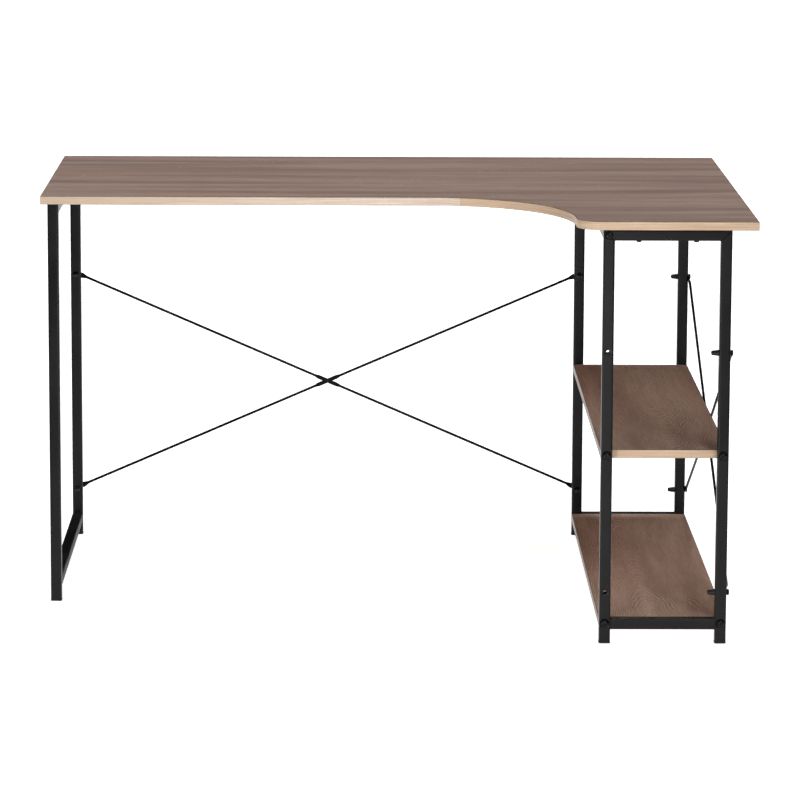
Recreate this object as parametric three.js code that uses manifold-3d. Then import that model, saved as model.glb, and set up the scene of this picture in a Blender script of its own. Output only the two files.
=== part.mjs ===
// Corner desk: an L-shaped top on a black square-tube frame, with two shelves under its wing.
// Millimetres, +Z up. The origin is on the floor under the middle of the desk's bounding box,
// +X runs along the long rear edge and the front faces -Y.

import * as THREE from 'three';
import * as BufferGeometryUtils from 'three/addons/utils/BufferGeometryUtils.js';
import Module from 'manifold-3d';

// ---- Driving dimensions ----

const DESK_WIDTH = 1270;
const DESK_HEIGHT = 750;
const MAIN_DEPTH = 660; // rear edge to the long front edge
const WING_DEPTH = 1000; // rear edge to the wing's front edge
const WING_WIDTH = 315;
const CURVE_ACROSS = 243; // half axes of the quarter ellipse in the inner corner
const CURVE_ALONG = 284;
const WING_CORNER = 45; // radius of the wing's front left corner
const BOARD = 15;
const BAND = 1;

const TUBE = 20;
const WALL = 1.2;
const TUBE_CORNER = 2.5;
const OVERHANG = 12; // from the frame to the top's front, rear and left edges
const SHELF_UNIT_WIDTH = 224;
const SHELF_UNIT_OVERHANG = 45.5; // from the shelf unit to the top's right edge
const BOTTOM_RAIL_HEIGHT = 25; // floor to a bottom rail's underside
const MIDDLE_SHELF_TOP = 343.5;
const BOTTOM_SHELF_TOP = 43.5;
const REAR_BRACE = { top: 520, bottom: 92 }; // heights of the brace bolts
const SIDE_BRACE = { top: 517.5, bottom: 91 };

const GAP = 0.3; // clearance of turned or cut pieces

const FOOT = { flange: 20.8, height: 3, plug: 16.8, plugHeight: 15, corner: 2.2 };
const ROD = { radius: 2.5, thick: 1.6, tabWidth: 10, tabLength: 26, midWidth: 8, midLength: 44 };
const OPEN_HOLE_RADIUS = 3.3;
const M6 = { radius: 3, hole: 3.4 };
const SHELF_SCREW = { headRadius: 6.5, headHeight: 4, length: 48, keyRadius: 2.3, keyDepth: 2.2 };
const CORNER_BOLT = { ...SHELF_SCREW, length: 36 };
const BRACE_BOLT = { headRadius: 5.8, headHeight: 3, length: 32, keyRadius: 2.1, keyDepth: 1.8 };
const CAP_NUT = { radius: 5.5, length: 13.5, bore: 3.3, boreDepth: 11 };
const RIVET = { radius: 2, hole: 2.3, headRadius: 4, headHeight: 1.8 };
const TOP_SCREW = { radius: 2, hole: 2.3, headRadius: 4.5, headHeight: 2.8, bite: 11, spacing: 100 };
const END_PLATE = 3; // threaded plate in each end of the bolted rail

const ARC_STEPS = 1; // curve steps: an arc gets twice as many segments
const OUTLINE_STEPS = 12;
const ROUND_SIDES = 10;

// ---- Derived places ----

const DESK_DEPTH = WING_DEPTH;
const LEFT = -DESK_WIDTH / 2;
const RIGHT = DESK_WIDTH / 2;
const REAR = DESK_DEPTH / 2;
const WING_FRONT = -DESK_DEPTH / 2;
const MAIN_FRONT = REAR - MAIN_DEPTH;
const WING_LEFT = RIGHT - WING_WIDTH;
const UNDERSIDE = DESK_HEIGHT - BOARD;

const LEG_X = {
  left: LEFT + OVERHANG + TUBE / 2,
  shelfLeft: RIGHT - SHELF_UNIT_OVERHANG - SHELF_UNIT_WIDTH + TUBE / 2,
  shelfRight: RIGHT - SHELF_UNIT_OVERHANG - TUBE / 2,
};
const LEG_Y = {
  rear: REAR - OVERHANG - TUBE / 2,
  mainFront: MAIN_FRONT + OVERHANG + TUBE / 2,
  wingFront: WING_FRONT + OVERHANG + TUBE / 2,
};
const LEG_LENGTH = UNDERSIDE - FOOT.height;
const TOP_RAIL_Z = UNDERSIDE - TUBE / 2;
const BOTTOM_RAIL_Z = BOTTOM_RAIL_HEIGHT + TUBE / 2;
const SHELF_MID_X = (LEG_X.shelfLeft + LEG_X.shelfRight) / 2;
const SHELF_MID_Y = (LEG_Y.wingFront + LEG_Y.rear) / 2;
const SHELF_DEPTH = LEG_Y.rear - LEG_Y.wingFront - TUBE;
const SHELF_SCREW_HEIGHTS = [MIDDLE_SHELF_TOP - BOARD / 2, BOTTOM_SHELF_TOP - BOARD / 2];

// ---- Materials ----

function paint(color, roughness, metalness) {
  return () => new THREE.MeshStandardMaterial({ color, roughness, metalness });
}
const woodTop = paint(0x87756a, 0.55, 0);
const woodShelf = paint(0x7a6559, 0.55, 0);
const edgeBand = paint(0xd9bf9f, 0.5, 0);
const blackFrame = paint(0x1d1e20, 0.4, 0.2);
const blackSteel = paint(0x17181a, 0.35, 0.6);
const blackPlastic = paint(0x121213, 0.6, 0);

// ---- Geometry helpers ----

const wasm = await Module();
wasm.setup();

function toSolid(geometry) {
  const bare = geometry.clone();
  bare.deleteAttribute('normal');
  bare.deleteAttribute('uv');
  const merged = BufferGeometryUtils.mergeVertices(bare);
  return new wasm.Manifold(new wasm.Mesh({
    numProp: 3,
    vertProperties: merged.attributes.position.array,
    triVerts: Uint32Array.from(merged.index.array),
  }));
}

function toGeometry(solid) {
  const mesh = solid.getMesh();
  const geometry = new THREE.BufferGeometry();
  geometry.setAttribute('position', new THREE.BufferAttribute(mesh.vertProperties, 3));
  geometry.setIndex(new THREE.BufferAttribute(mesh.triVerts, 1));
  geometry.computeVertexNormals();
  return geometry;
}

function cut(geometry, tools) {
  return toGeometry(tools.reduce((solid, tool) => solid.subtract(toSolid(tool)), toSolid(geometry)));
}

function join(geometries) {
  return toGeometry(geometries.map(toSolid).reduce((whole, solid) => whole.add(solid)));
}

// Turns +Z onto another axis by swapping coordinates, so that flat faces stay exact.
const X = new THREE.Vector3(1, 0, 0);
const Y = new THREE.Vector3(0, 1, 0);
const Z = new THREE.Vector3(0, 0, 1);
const minus = (v) => v.clone().negate();
const ONTO = {
  '+x': new THREE.Matrix4().makeBasis(Y, Z, X),
  '-x': new THREE.Matrix4().makeBasis(Y, minus(Z), minus(X)),
  '+y': new THREE.Matrix4().makeBasis(Z, X, Y),
  '-y': new THREE.Matrix4().makeBasis(X, Z, minus(Y)),
  '+z': new THREE.Matrix4(),
  '-z': new THREE.Matrix4().makeBasis(X, minus(Y), minus(Z)),
};

function extrude(shape, depth, curveSegments = ARC_STEPS) {
  return new THREE.ExtrudeGeometry(shape, { depth, curveSegments, bevelEnabled: false });
}

// A profile of [radius, height] points turned about +Z.
function turned(profile) {
  const points = profile.map(([radius, height]) => new THREE.Vector2(radius, height));
  return new THREE.LatheGeometry(points, ROUND_SIDES).applyMatrix4(ONTO['+x']);
}

// A round bar of the given radius, centred on a point and running along an axis.
function bar(radius, length, axis, at) {
  const bar = turned([[0, -length / 2], [radius, -length / 2], [radius, length / 2], [0, length / 2]]);
  return bar.applyMatrix4(ONTO[axis]).translate(at.x, at.y, at.z);
}

function roundedSquare(size, radius) {
  const flat = size / 2 - radius;
  const shape = new THREE.Shape();
  shape.absarc(flat, flat, radius, 0, Math.PI / 2);
  shape.absarc(-flat, flat, radius, Math.PI / 2, Math.PI);
  shape.absarc(-flat, -flat, radius, Math.PI, 1.5 * Math.PI);
  shape.absarc(flat, -flat, radius, 1.5 * Math.PI, 2 * Math.PI);
  shape.closePath();
  return shape;
}

function rectangle(width, depth) {
  const shape = new THREE.Shape();
  shape.moveTo(-width / 2, -depth / 2);
  shape.lineTo(width / 2, -depth / 2);
  shape.lineTo(width / 2, depth / 2);
  shape.lineTo(-width / 2, depth / 2);
  shape.closePath();
  return shape;
}

// An open square tube from the origin along +Z.
function tube(length) {
  const section = roundedSquare(TUBE, TUBE_CORNER);
  section.holes.push(roundedSquare(TUBE - 2 * WALL, TUBE_CORNER - WALL));
  return extrude(section, length);
}

// A block that fills everything near the point on the side that the normal points to.
function halfSpace(point, normal) {
  const reach = 4 * TUBE;
  const turn = new THREE.Quaternion().setFromUnitVectors(Z, normal.clone().normalize());
  const block = new THREE.BoxGeometry(reach, reach, reach).translate(0, 0, reach / 2);
  return block.applyQuaternion(turn).translate(point.x, point.y, point.z);
}

// Cuts an end at 45 degrees: centre is where the two tubes' centre lines meet.
function mitreTool(centre, normal) {
  const back = normal.clone().normalize().multiplyScalar(-GAP / 2);
  return halfSpace(centre.clone().add(back), normal);
}

const desk = new THREE.Group();

function addPiece(name, geometry, material, x, y, z, parent = desk) {
  const mesh = new THREE.Mesh(geometry, material());
  mesh.name = name;
  mesh.position.set(x, y, z);
  parent.add(mesh);
  return mesh;
}

// ---- Top: board and edge band ----

// The top's outline, moved inwards by the given inset.
function topOutline(inset) {
  const curveX = WING_LEFT - CURVE_ACROSS;
  const curveY = MAIN_FRONT - CURVE_ALONG;
  const shape = new THREE.Shape();
  shape.moveTo(LEFT + inset, REAR - inset);
  shape.lineTo(LEFT + inset, MAIN_FRONT + inset);
  shape.lineTo(curveX, MAIN_FRONT + inset);
  shape.absellipse(curveX, curveY, CURVE_ACROSS + inset, CURVE_ALONG + inset, Math.PI / 2, 0, true);
  shape.absarc(WING_LEFT + WING_CORNER, WING_FRONT + WING_CORNER, WING_CORNER - inset,
    Math.PI, 1.5 * Math.PI);
  shape.lineTo(RIGHT - inset, WING_FRONT + inset);
  shape.lineTo(RIGHT - inset, REAR - inset);
  shape.closePath();
  return shape;
}

const topScrewX = [-1, 1].map((side) => SHELF_MID_X + side * TOP_SCREW.spacing / 2);

function addTop() {
  const pilots = topScrewX.map((x) => bar(TOP_SCREW.hole, 2 * (TOP_SCREW.bite + 1), '+z',
    new THREE.Vector3(x, LEG_Y.wingFront, 0)));
  const board = cut(extrude(topOutline(BAND), BOARD, OUTLINE_STEPS), pilots);
  addPiece('desktop_panel', board, woodTop, 0, 0, UNDERSIDE);
  const ring = topOutline(0);
  ring.holes.push(topOutline(BAND));
  addPiece('desktop_edge_band', extrude(ring, BOARD, OUTLINE_STEPS), edgeBand, 0, 0, UNDERSIDE);
}

// ---- Frame: legs, rails and feet ----

// inward is the direction of the top rail that is mitred to the leg.
function addLeg(name, x, y, inward, holes) {
  const corner = new THREE.Vector3(0, 0, LEG_LENGTH - TUBE / 2);
  const tools = [mitreTool(corner, inward.clone().add(Z))];
  for (const { axis, height, radius } of holes) {
    const at = new THREE.Vector3(0, 0, height - FOOT.height);
    tools.push(bar(radius, 2 * TUBE, axis, at));
  }
  addPiece(name, cut(tube(LEG_LENGTH), tools), blackFrame, x, y, FOOT.height);
}

// A top rail with both ends mitred. Its holes are given as [distance along, axis, radius].
function addTopRail(name, length, axis, x, y, holes = []) {
  const middle = TUBE / 2;
  const along = axis === '+x' ? X : Y;
  const rail = tube(length).applyMatrix4(ONTO[axis]);
  const tools = [
    mitreTool(along.clone().multiplyScalar(middle), minus(along).sub(Z)),
    mitreTool(along.clone().multiplyScalar(length - middle), along.clone().sub(Z)),
  ];
  for (const [distance, holeAxis, radius] of holes) {
    tools.push(bar(radius, 2 * TUBE, holeAxis, along.clone().multiplyScalar(distance)));
  }
  addPiece(name, cut(rail, tools), blackFrame, x, y, TOP_RAIL_Z);
}

function addBottomRail(name, length, axis, x, y) {
  addPiece(name, tube(length).applyMatrix4(ONTO[axis]), blackFrame, x, y, BOTTOM_RAIL_Z);
}

function addFoot(name, x, y) {
  const flange = extrude(roundedSquare(FOOT.flange, FOOT.corner + WALL / 2), FOOT.height);
  const plug = extrude(roundedSquare(FOOT.plug, FOOT.corner), FOOT.height + FOOT.plugHeight);
  addPiece(name, join([flange, plug]), blackPlastic, x, y, 0);
}

function braceHoles(brace, axis, radius) {
  return [brace.top, brace.bottom].map((height) => ({ axis, height, radius }));
}

function addLeftFrame() {
  const x = LEG_X.left;
  const depth = LEG_Y.rear - LEG_Y.mainFront;
  addLeg('left_front_leg', x, LEG_Y.mainFront, Y, []);
  addLeg('left_rear_leg', x, LEG_Y.rear, minus(Y), braceHoles(REAR_BRACE, '+y', M6.hole));
  addTopRail('left_top_rail', depth + TUBE, '+y', x, LEG_Y.mainFront - TUBE / 2);
  addBottomRail('left_bottom_rail', depth - TUBE, '+y', x, LEG_Y.mainFront + TUBE / 2);
  addFoot('foot_left_front', x, LEG_Y.mainFront);
  addFoot('foot_left_rear', x, LEG_Y.rear);
}

function addShelfUnitFrame() {
  const shelfHoles = SHELF_SCREW_HEIGHTS.map((height) => (
    { axis: '+y', height, radius: M6.hole }));
  const cornerHole = { axis: '+y', height: TOP_RAIL_Z, radius: M6.hole };
  const sides = [
    { side: 'left', x: LEG_X.shelfLeft, inward: X },
    { side: 'right', x: LEG_X.shelfRight, inward: minus(X) },
  ];
  for (const [end, y] of [['front', LEG_Y.wingFront], ['rear', LEG_Y.rear]]) {
    for (const { side, x, inward } of sides) {
      const holes = [...shelfHoles];
      if (side === 'left') {
        const radius = end === 'front' ? OPEN_HOLE_RADIUS : M6.hole;
        holes.push(cornerHole, ...braceHoles(REAR_BRACE, '+y', radius));
      } else {
        holes.push(...braceHoles(SIDE_BRACE, '+x', M6.hole));
      }
      addLeg(`shelf_${end}_${side}_leg`, x, y, inward, holes);
      addFoot(`foot_shelf_${end}_${side}`, x, y);
    }
    const outerLeft = LEG_X.shelfLeft - TUBE / 2;
    const railHoles = [[TUBE / 2, '+y', M6.hole]];
    if (end === 'front') {
      railHoles.push(...topScrewX.map((x) => [x - outerLeft, '+z', TOP_SCREW.hole]));
    }
    addTopRail(`shelf_${end}_top_rail`, SHELF_UNIT_WIDTH, '+x', outerLeft, y, railHoles);
    addBottomRail(`shelf_${end}_bottom_rail`, SHELF_UNIT_WIDTH - 2 * TUBE, '+x', outerLeft + TUBE, y);
  }
}

// The rail between the two left corners has a threaded plate in each end for the corner bolts.
function addBoltedRail() {
  const plate = roundedSquare(TUBE - WALL, TUBE_CORNER);
  const ends = [0, SHELF_DEPTH - END_PLATE].map((start) => extrude(plate, END_PLATE).translate(0, 0, start));
  const rail = join([tube(SHELF_DEPTH), ...ends]);
  const thread = bar(M6.hole, 2 * SHELF_DEPTH + 2 * TUBE, '+z', new THREE.Vector3());
  addPiece('shelf_left_top_rail', cut(rail, [thread]).applyMatrix4(ONTO['+y']), blackFrame,
    LEG_X.shelfLeft, LEG_Y.wingFront + TUBE / 2, TOP_RAIL_Z);
}

// ---- Shelves ----

function addShelf(name, top) {
  const width = SHELF_UNIT_WIDTH;
  const depth = SHELF_DEPTH;
  const bite = SHELF_SCREW.length - TUBE + 2;
  const pilots = [];
  for (const x of [-1, 1].map((side) => side * (width - TUBE) / 2)) {
    for (const y of [-depth / 2, depth / 2]) {
      pilots.push(bar(M6.hole, 2 * bite, '+y', new THREE.Vector3(x, y, BOARD / 2)));
    }
  }
  const inner = rectangle(width - 2 * BAND, depth - 2 * BAND);
  const ring = rectangle(width, depth);
  ring.holes.push(rectangle(width - 2 * BAND, depth - 2 * BAND));
  const z = top - BOARD;
  addPiece(`${name}_panel`, cut(extrude(inner, BOARD), pilots), woodShelf, SHELF_MID_X, SHELF_MID_Y, z);
  addPiece(`${name}_edge_band`, cut(extrude(ring, BOARD), pilots), edgeBand, SHELF_MID_X, SHELF_MID_Y, z);
}

// ---- Fasteners ----

// A button-head bolt with a hexagon socket: its head is above z = 0 and its shank below.
function buttonBolt({ headRadius, headHeight, length, keyRadius, keyDepth }) {
  const body = turned([
    [0, -length], [M6.radius - 0.5, -length], [M6.radius, -length + 1], [M6.radius, 0], [headRadius, 0],
    [headRadius, 0.2 * headHeight], [0.8 * headRadius, 0.75 * headHeight],
    [0.5 * headRadius, headHeight], [0, headHeight],
  ]);
  const key = new THREE.CylinderGeometry(keyRadius, keyRadius, 2 * keyDepth, 6).applyMatrix4(ONTO['+x']);
  return cut(body, [key.translate(0, 0, headHeight)]);
}

// A bullet-shaped cap nut: its open mouth is at z = 0 and its round tip points along +Z.
function capNut() {
  const { radius, length, bore, boreDepth } = CAP_NUT;
  return turned([
    [bore, 0], [radius, 0], [radius, 0.1 * length], [0.76 * radius, 0.82 * length],
    [0.5 * radius, 0.97 * length], [0, length], [0, boreDepth], [0.6 * bore, boreDepth],
    [bore, boreDepth - 2], [bore, 0],
  ]);
}

// A rivet through two crossing rods: z = 0 is the middle of its grip.
function rivet() {
  const grip = ROD.thick + 1.5 * GAP;
  const dome = (sign) => [
    [RIVET.headRadius, sign * grip], [0.7 * RIVET.headRadius, sign * (grip + 0.8 * RIVET.headHeight)],
    [0, sign * (grip + RIVET.headHeight)],
  ];
  return turned([...dome(-1).reverse(), [RIVET.radius, -grip], [RIVET.radius, grip], ...dome(1)]);
}

// A pan-head wood screw: its head is above z = 0 and its shank below.
function panScrew(length) {
  const { radius, headRadius, headHeight } = TOP_SCREW;
  return turned([
    [0, -length], [radius, -length + 4], [radius, 0], [headRadius, 0],
    [0.9 * headRadius, 0.6 * headHeight], [0.5 * headRadius, headHeight], [0, headHeight],
  ]);
}

function addFasteners() {
  const facing = [
    ['front', '-y', LEG_Y.wingFront - TUBE / 2 - GAP],
    ['rear', '+y', LEG_Y.rear + TUBE / 2 + GAP],
  ];
  for (const [end, out, y] of facing) {
    for (const [side, x] of [['left', LEG_X.shelfLeft], ['right', LEG_X.shelfRight]]) {
      for (const [level, z] of [['middle', SHELF_SCREW_HEIGHTS[0]], ['bottom', SHELF_SCREW_HEIGHTS[1]]]) {
        const screw = buttonBolt(SHELF_SCREW).applyMatrix4(ONTO[out]);
        addPiece(`${level}_shelf_screw_${end}_${side}`, screw, blackSteel, x, y, z);
      }
    }
    const bolt = buttonBolt(CORNER_BOLT).applyMatrix4(ONTO[out]);
    addPiece(`corner_bolt_${end}`, bolt, blackSteel, LEG_X.shelfLeft, y, TOP_RAIL_Z);
  }
  topScrewX.forEach((x, i) => {
    const screw = panScrew(TUBE + TOP_SCREW.bite).applyMatrix4(ONTO['-z']);
    addPiece(`desktop_screw_${['left', 'right'][i]}`, screw, blackSteel, x, LEG_Y.wingFront,
      TOP_RAIL_Z - TUBE / 2 - GAP);
  });
}

// ---- Cross braces ----

// A tongue of the given size with round ends, lying flat in XZ and 'thick' deep in Y.
function tongue(length, width) {
  const straight = length / 2 - width / 2;
  const shape = new THREE.Shape();
  shape.absarc(straight, 0, width / 2, -Math.PI / 2, Math.PI / 2);
  shape.absarc(-straight, 0, width / 2, Math.PI / 2, 1.5 * Math.PI);
  shape.closePath();
  const flat = extrude(shape, ROD.thick, 2 * ARC_STEPS).translate(0, 0, -ROD.thick / 2);
  return flat.applyMatrix4(ONTO['-y']);
}

function barBetween(start, end, radius) {
  const along = end.clone().sub(start);
  const length = along.length();
  const turn = new THREE.Quaternion().setFromUnitVectors(Y, along.normalize());
  const middle = start.clone().add(end).multiplyScalar(0.5);
  const round = new THREE.CylinderGeometry(radius, radius, length, 8);
  return round.applyQuaternion(turn).translate(middle.x, middle.y, middle.z);
}

// A round rod along X with flattened, drilled ends and a flattened middle. The bolt holes are
// 'span' apart, the ends are flush with the rod's inner side, and the middle stands 'rise'
// further out (+Y) than the rest.
function braceRod(span, rise) {
  const tabEnd = ROD.tabLength - ROD.tabWidth / 2;
  const tabY = ROD.thick / 2 - ROD.radius;
  const parts = [tongue(ROD.midLength, ROD.midWidth).translate(0, rise, 0)];
  const holes = [bar(RIVET.hole, 4 * ROD.radius, '+y', new THREE.Vector3(0, rise, 0))];
  for (const side of [-1, 1]) {
    const tabMiddle = side * (span / 2 + ROD.tabWidth / 2 - ROD.tabLength / 2);
    parts.push(tongue(ROD.tabLength, ROD.tabWidth).translate(tabMiddle, tabY, 0));
    const start = new THREE.Vector3(side * (span / 2 - tabEnd + 2), 0, 0);
    const end = new THREE.Vector3(side * (ROD.midLength / 2 - 3), rise, 0);
    parts.push(barBetween(start, end, ROD.radius));
    holes.push(bar(M6.hole, 4 * ROD.radius, '+y', new THREE.Vector3(side * span / 2, 0, 0)));
  }
  return cut(join(parts), holes);
}

// A pair of crossed rods in the XZ plane of its own group. Out of the frame is +Y, and the
// origin is on the legs' outer face, halfway between the four bolts.
function addBrace(name, across, { top, bottom }, ends) {
  const brace = new THREE.Group();
  const up = top - bottom;
  const span = Math.hypot(across, up);
  const slope = Math.atan2(up, across);
  const rods = [['a', slope, 0], ['b', -slope, ROD.thick + GAP]];
  for (const [letter, turn, rise] of rods) {
    const rod = addPiece(`${name}_rod_${letter}`, braceRod(span, rise), blackFrame,
      0, GAP + ROD.radius, 0, brace);
    rod.rotation.y = turn;
  }
  const rivetY = GAP + ROD.radius + (ROD.thick + GAP) / 2;
  addPiece(`${name}_rivet`, rivet().applyMatrix4(ONTO['+y']), blackSteel, 0, rivetY, 0, brace);
  for (const [i, end] of ends.entries()) {
    for (const [level, z] of [['top', up / 2], ['bottom', -up / 2]]) {
      const x = (i - 0.5) * across;
      const headY = ROD.thick + 2 * GAP;
      addPiece(`${name}_bolt_${end}_${level}`, buttonBolt(BRACE_BOLT).applyMatrix4(ONTO['+y']),
        blackSteel, x, headY, z, brace);
      addPiece(`${name}_cap_nut_${end}_${level}`, capNut().applyMatrix4(ONTO['-y']),
        blackPlastic, x, -TUBE - GAP, z, brace);
    }
  }
  brace.position.z = (top + bottom) / 2;
  desk.add(brace);
  return brace;
}

function addBraces() {
  const rear = addBrace('rear_brace', LEG_X.shelfLeft - LEG_X.left, REAR_BRACE, ['left', 'right']);
  rear.position.x = (LEG_X.left + LEG_X.shelfLeft) / 2;
  rear.position.y = LEG_Y.rear + TUBE / 2;
  const side = addBrace('side_brace', LEG_Y.rear - LEG_Y.wingFront, SIDE_BRACE, ['rear', 'front']);
  side.position.x = LEG_X.shelfRight + TUBE / 2;
  side.position.y = SHELF_MID_Y;
  side.rotation.z = -Math.PI / 2;
}

addTop();
addLeftFrame();
addShelfUnitFrame();
addBoltedRail();
addShelf('middle_shelf', MIDDLE_SHELF_TOP);
addShelf('bottom_shelf', BOTTOM_SHELF_TOP);
addFasteners();
addBraces();

export default desk;
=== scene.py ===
import math

import bmesh
import bpy
from mathutils import Matrix, Vector


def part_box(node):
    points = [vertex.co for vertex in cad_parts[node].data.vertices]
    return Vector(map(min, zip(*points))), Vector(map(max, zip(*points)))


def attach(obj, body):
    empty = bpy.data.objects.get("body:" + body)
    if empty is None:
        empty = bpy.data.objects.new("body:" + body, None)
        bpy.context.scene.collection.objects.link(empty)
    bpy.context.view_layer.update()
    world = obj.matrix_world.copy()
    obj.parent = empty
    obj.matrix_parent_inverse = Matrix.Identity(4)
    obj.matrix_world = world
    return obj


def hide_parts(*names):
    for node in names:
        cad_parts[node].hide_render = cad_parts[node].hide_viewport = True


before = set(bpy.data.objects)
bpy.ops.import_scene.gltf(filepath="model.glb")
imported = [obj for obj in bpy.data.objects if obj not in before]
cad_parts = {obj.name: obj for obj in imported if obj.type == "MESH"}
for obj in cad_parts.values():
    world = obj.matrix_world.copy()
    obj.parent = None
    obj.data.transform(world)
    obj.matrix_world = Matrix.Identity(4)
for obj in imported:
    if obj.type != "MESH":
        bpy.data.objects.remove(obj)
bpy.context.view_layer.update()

# Corner desk. Metres, +Z up, the long rear edge along X and the front facing -Y. Each CAD node
# is stood for by a finer mesh named after it, which takes its place from the node's own box.

# ---- Sizes that the boxes don't give ----

TUBE = 0.020
TUBE_CORNER = 0.0033
TUBE_WALL = 0.0012
CORNER_STEPS = 6  # faces round each corner of a tube

BAND = 0.001  # edge band's thickness
BAND_EDGE = 0.0007  # rounding of its two long edges
EDGE_STEPS = 4
# The band on a shelf's long sides is painted darker, as painted shade.
LIGHT, TAN, JOINT, RIM, SHADED_SIDE, SHELF = range(6)  # the edge band's materials
BOARD_CORNER = 0.0014  # radius of a board's square corners, outside the band
BOARD_CORNER_STEPS = 4
BOARD_CHAMFER = 0.00015

# The desktop's outline: a wing on the right, joined to the long part by a quarter of an ellipse.
WING_WIDTH = 0.315
MAIN_DEPTH = 0.660
CURVE_ACROSS = 0.243
CURVE_ALONG = 0.284
WING_CORNER = 0.045
CURVE_STEPS = 56
JOINT_STEPS = 7  # those of them before the strip joint
WING_CORNER_STEPS = 24
STRIP_JOINT = 11.4  # degrees round the curve to the joint between two lengths of edge band
JOINT_ANGLE = 0.15

SCREW_HEAD = {
    "radius": 0.0065, "height": 0.0043, "key": 0.0023, "key_depth": 0.0024, "sunk": 0.0008,
}
BRACE_HEAD = {"radius": 0.0058, "height": 0.0033, "key": 0.0021, "key_depth": 0.0019}
PAN_HEAD = {"radius": 0.0045, "height": 0.0031}
SHANK = 0.003
BOLT_HOLE = SHANK + 0.0003
PAN_SHANK = 0.002
NUT = {"radius": 0.0055, "length": 0.0138, "bore": 0.0033, "bore_depth": 0.0112}
RIVET = {"radius": 0.004, "height": 0.0018}
ROD = {"radius": 0.0025, "thick": 0.0008, "tab": 0.005, "middle": 0.004}
ROD_RISE = 0.0019  # how much further out the second rod's middle stands
ROD_SIDES = 28
TAB_TAPER = (0.017, 0.029)  # from a rod's tip: the flat tab's end, and the start of the round rod
MIDDLE_TAPER = (0.018, 0.027)  # and the same from its middle
OPEN_HOLE = 0.0033
OPEN_DIMPLE = {"inner": 0.0033, "outer": 0.0078, "depth": 0.0009}  # pressed in round a hole
HEAD_DIMPLE = {"inner": 0.0064, "outer": 0.0094, "depth": 0.0008}  # and under a bolt head
DIMPLE_STEPS = 12
FOOT_HEIGHT = 0.003

ROOT = "root"
X, Y, Z = Vector((1, 0, 0)), Vector((0, 1, 0)), Vector((0, 0, 1))


def middle(node):
    low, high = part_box(node)
    return (low + high) / 2


# ---- Mesh helpers ----


def loft(bm, rings, closed=False):
    """Skins a row of rings of points with quads. The ends get a face each, or meet when closed."""
    loops = [[bm.verts.new(point) for point in ring] for ring in rings]
    if closed:
        loops.append(loops[0])
    count = len(loops[0])
    grid = []
    for near, far in zip(loops, loops[1:]):
        row = []
        for i in range(count):
            j = (i + 1) % count
            row.append(bm.faces.new((near[i], near[j], far[j], far[i])))
        grid.append(row)
    if not closed:
        bm.faces.new(loops[0])
        bm.faces.new(loops[-1])
    return grid


def to_mesh(bm, name):
    bmesh.ops.recalc_face_normals(bm, faces=bm.faces)
    mesh = bpy.data.meshes.new(name)
    bm.to_mesh(mesh)
    bm.free()
    return mesh


def add_piece(name, mesh, materials, nodes=(), sharp=34):
    """Links a mesh as a piece of the desk, with smooth shading that breaks at sharp edges."""
    mesh.name = name
    for material in materials:
        mesh.materials.append(material)
    mesh.polygons.foreach_set("use_smooth", [True] * len(mesh.polygons))
    mesh.set_sharp_from_angle(angle=math.radians(sharp))
    piece = bpy.data.objects.new(name, mesh)
    bpy.context.scene.collection.objects.link(piece)
    normals = piece.modifiers.new("weighted normals", "WEIGHTED_NORMAL")
    normals.keep_sharp = True
    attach(piece, ROOT)
    if nodes:
        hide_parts(*nodes)
    return piece


def drilled(mesh, cutters):
    """The mesh with the cutter meshes taken out of it."""
    objects = []
    for i, part in enumerate([mesh, *cutters]):
        part_object = bpy.data.objects.new(f"drilling {i}", part)
        bpy.context.scene.collection.objects.link(part_object)
        objects.append(part_object)
    body = objects[0]
    for cutter in objects[1:]:
        cut = body.modifiers.new("cut", "BOOLEAN")
        cut.operation = "DIFFERENCE"
        cut.solver = "EXACT"
        cut.object = cutter
    graph = bpy.context.evaluated_depsgraph_get()
    result = bpy.data.meshes.new_from_object(body.evaluated_get(graph))
    for part_object in objects:
        bpy.data.objects.remove(part_object)
    for part in [mesh, *cutters]:
        bpy.data.meshes.remove(part)
    return result


def across(axis):
    """Two unit vectors at right angles to an axis and to each other."""
    side = Z if abs(axis.dot(Z)) < 0.9 else X
    first = side.cross(axis).normalized()
    return first, axis.cross(first)


def hexagon(angle):
    """The radius of a hexagon of circumradius 1 at an angle."""
    sixth = math.pi / 3
    return math.cos(sixth / 2) / math.cos((angle + sixth / 2) % sixth - sixth / 2)


def cross_recess(angle):
    """The radius of a cross-shaped driver recess of radius 1 at an angle."""
    return 0.34 + 0.66 * abs(math.cos(2 * angle)) ** 6


def lathe(bm, origin, axis, profile, sides=48):
    """Turns rows of (radius, height) about an axis. A row's third value shapes its ring."""
    u, v = across(axis)
    rings = []
    for radius, height, *shape in profile:
        ring = []
        for i in range(sides):
            angle = 2 * math.pi * i / sides
            reach = radius * (shape[0](angle) if shape else 1)
            outward = u * math.cos(angle) + v * math.sin(angle)
            ring.append(origin + axis * height + outward * reach)
        rings.append(ring)
    return loft(bm, rings)


def arc(centre, radii, start, end, steps):
    """Points on an elliptical arc, from one angle to another in degrees."""
    points = []
    for i in range(steps + 1):
        angle = math.radians(start + (end - start) * i / steps)
        x = centre[0] + radii[0] * math.cos(angle)
        y = centre[1] + radii[1] * math.sin(angle)
        points.append((x, y))
    return points


def rounded_square(half, radius, steps=CORNER_STEPS):
    flat = half - radius
    points = []
    for i, (sx, sy) in enumerate([(1, 1), (-1, 1), (-1, -1), (1, -1)]):
        points += arc((sx * flat, sy * flat), (radius, radius), 90 * i, 90 * i + 90, steps)
    return points


# ---- Node helpers for materials ----


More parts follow.
